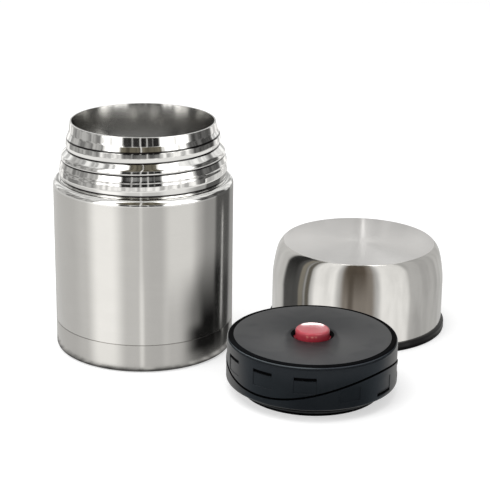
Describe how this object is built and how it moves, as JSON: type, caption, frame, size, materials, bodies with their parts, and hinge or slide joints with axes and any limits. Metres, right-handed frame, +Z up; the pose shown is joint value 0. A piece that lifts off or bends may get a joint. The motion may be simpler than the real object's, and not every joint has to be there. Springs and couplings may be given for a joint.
{
  "type": "insulated food jar",
  "caption": "Wide-mouth vacuum food jar in brushed steel, shown open, with its push-button screw stopper and its steel cup lid standing beside it.",
  "frame": {"origin": "middle of the jar's standing ring, on the surface that the jar, the stopper and the lid stand on", "axes": "+Z up along the jar's axis; +X towards the stopper and the lid; -Y towards the front, where the stopper lies"},
  "size_m": [0.2247, 0.1967, 0.1295],
  "materials": {
    "brushed_steel": "brushed round, satin; the neck is polished",
    "liner_steel": "electropolished, satin",
    "lid_steel": "polished side, satin top",
    "pressed_steel": "plain sheet",
    "foil": "bright foil",
    "getter": "pressed powder",
    "solder_glass": "fused bead",
    "black_plastic": "moulded, satin",
    "black_gloss_plastic": "moulded, glossy",
    "red_plastic": "clear-tinted, glossy",
    "white_plastic": "moulded, satin",
    "silicone": "matt silicone",
    "foam": "expanded foam",
    "spring_steel": "bright wire"
  },
  "bodies": {
    "jar": {"outer_shell": "brushed_steel", "inner_liner": "liner_steel", "liner_bottom": "liner_steel", "shell_bottom": "pressed_steel", "vacuum_seal": "solder_glass", "base_cup": "brushed_steel", "reflective_foil": "foil", "getter_pill": "getter", "getter_clip": "pressed_steel"},
    "stopper": {"stopper_cover": "black_plastic", "stopper_body": "black_plastic", "plug_cup": "black_plastic", "plug_insulation": "foam", "rim_gasket": "silicone", "plug_seal": "silicone", "button_spring": "spring_steel"},
    "button": {"push_button": "red_plastic", "valve_stem": "white_plastic", "valve_seal": "silicone"},
    "lid": {"lid_shell": "lid_steel", "lid_inner_cup": "black_gloss_plastic"}
  },
  "joints": [
    {"name": "stopper_lift", "type": "slide", "parent": "jar", "child": "stopper", "axis": [0, 0, 1], "range_m": [0, 0.15]},
    {"name": "lid_lift", "type": "slide", "parent": "jar", "child": "lid", "axis": [0, 0, 1], "range_m": [0, 0.15]},
    {"name": "button_press", "type": "slide", "parent": "stopper", "child": "button", "axis": [0, 0, -1], "range_m": [0, 0.003], "stiffness_N_per_m": 500, "springref_m": -0.003, "deforming": ["button_spring"]}
  ]
}
